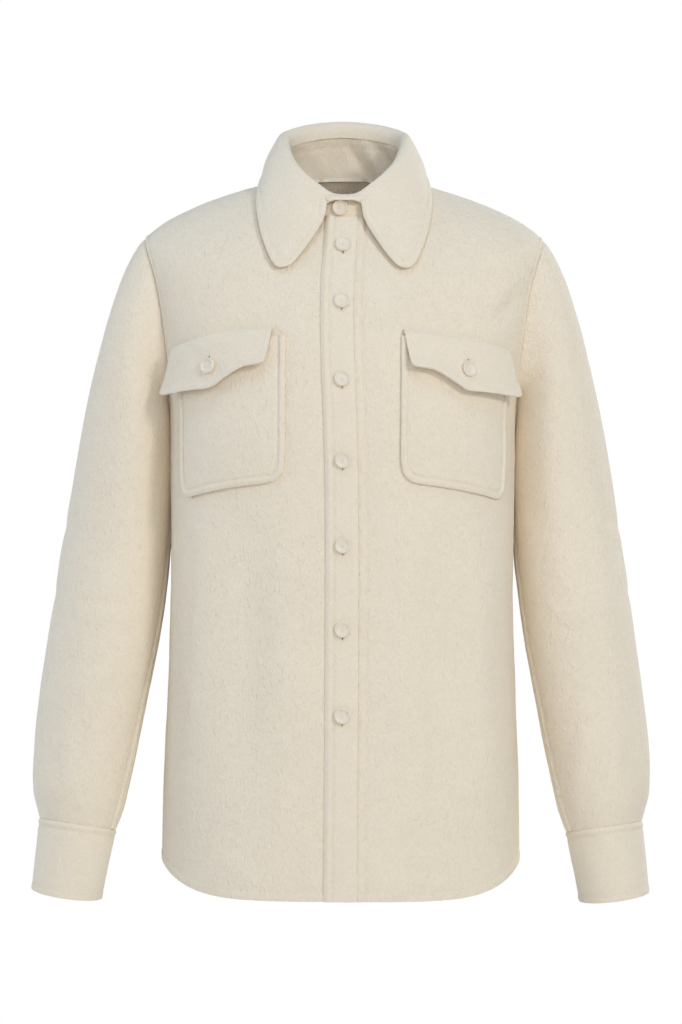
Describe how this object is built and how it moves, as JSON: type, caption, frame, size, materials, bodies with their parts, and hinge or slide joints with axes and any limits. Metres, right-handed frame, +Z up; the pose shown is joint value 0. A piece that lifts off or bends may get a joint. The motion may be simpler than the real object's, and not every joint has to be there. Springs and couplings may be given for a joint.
{
  "type": "overshirt",
  "caption": "Long-sleeved buttoned wool overshirt in cream with a pointed collar and flapped chest pockets, filled out as worn.",
  "frame": {"origin": "middle of the neck, level with the inner ends of the shoulder seams", "axes": "+Z up along the body, +X to the wearer's left, +Y to the back, so the buttons face -Y"},
  "size_m": [0.6174, 0.2463, 0.7837],
  "materials": {
    "wool": "felted",
    "button": "satin"
  },
  "bodies": {
    "root": {"front_right": "wool", "front_left": "wool", "back": "wool", "placket": "wool", "collar_stand": "wool", "collar_leaf": "wool", "sleeve_right": "wool", "sleeve_left": "wool", "cuff_right": "wool", "cuff_left": "wool", "pocket_right": "wool", "pocket_left": "wool", "flap_right": "wool", "flap_left": "wool", "button_1": "button", "button_2": "button", "button_3": "button", "button_4": "button", "button_5": "button", "button_6": "button", "button_7": "button", "button_8": "button", "button_flap_right": "button", "button_flap_left": "button"}
  },
  "joints": []
}
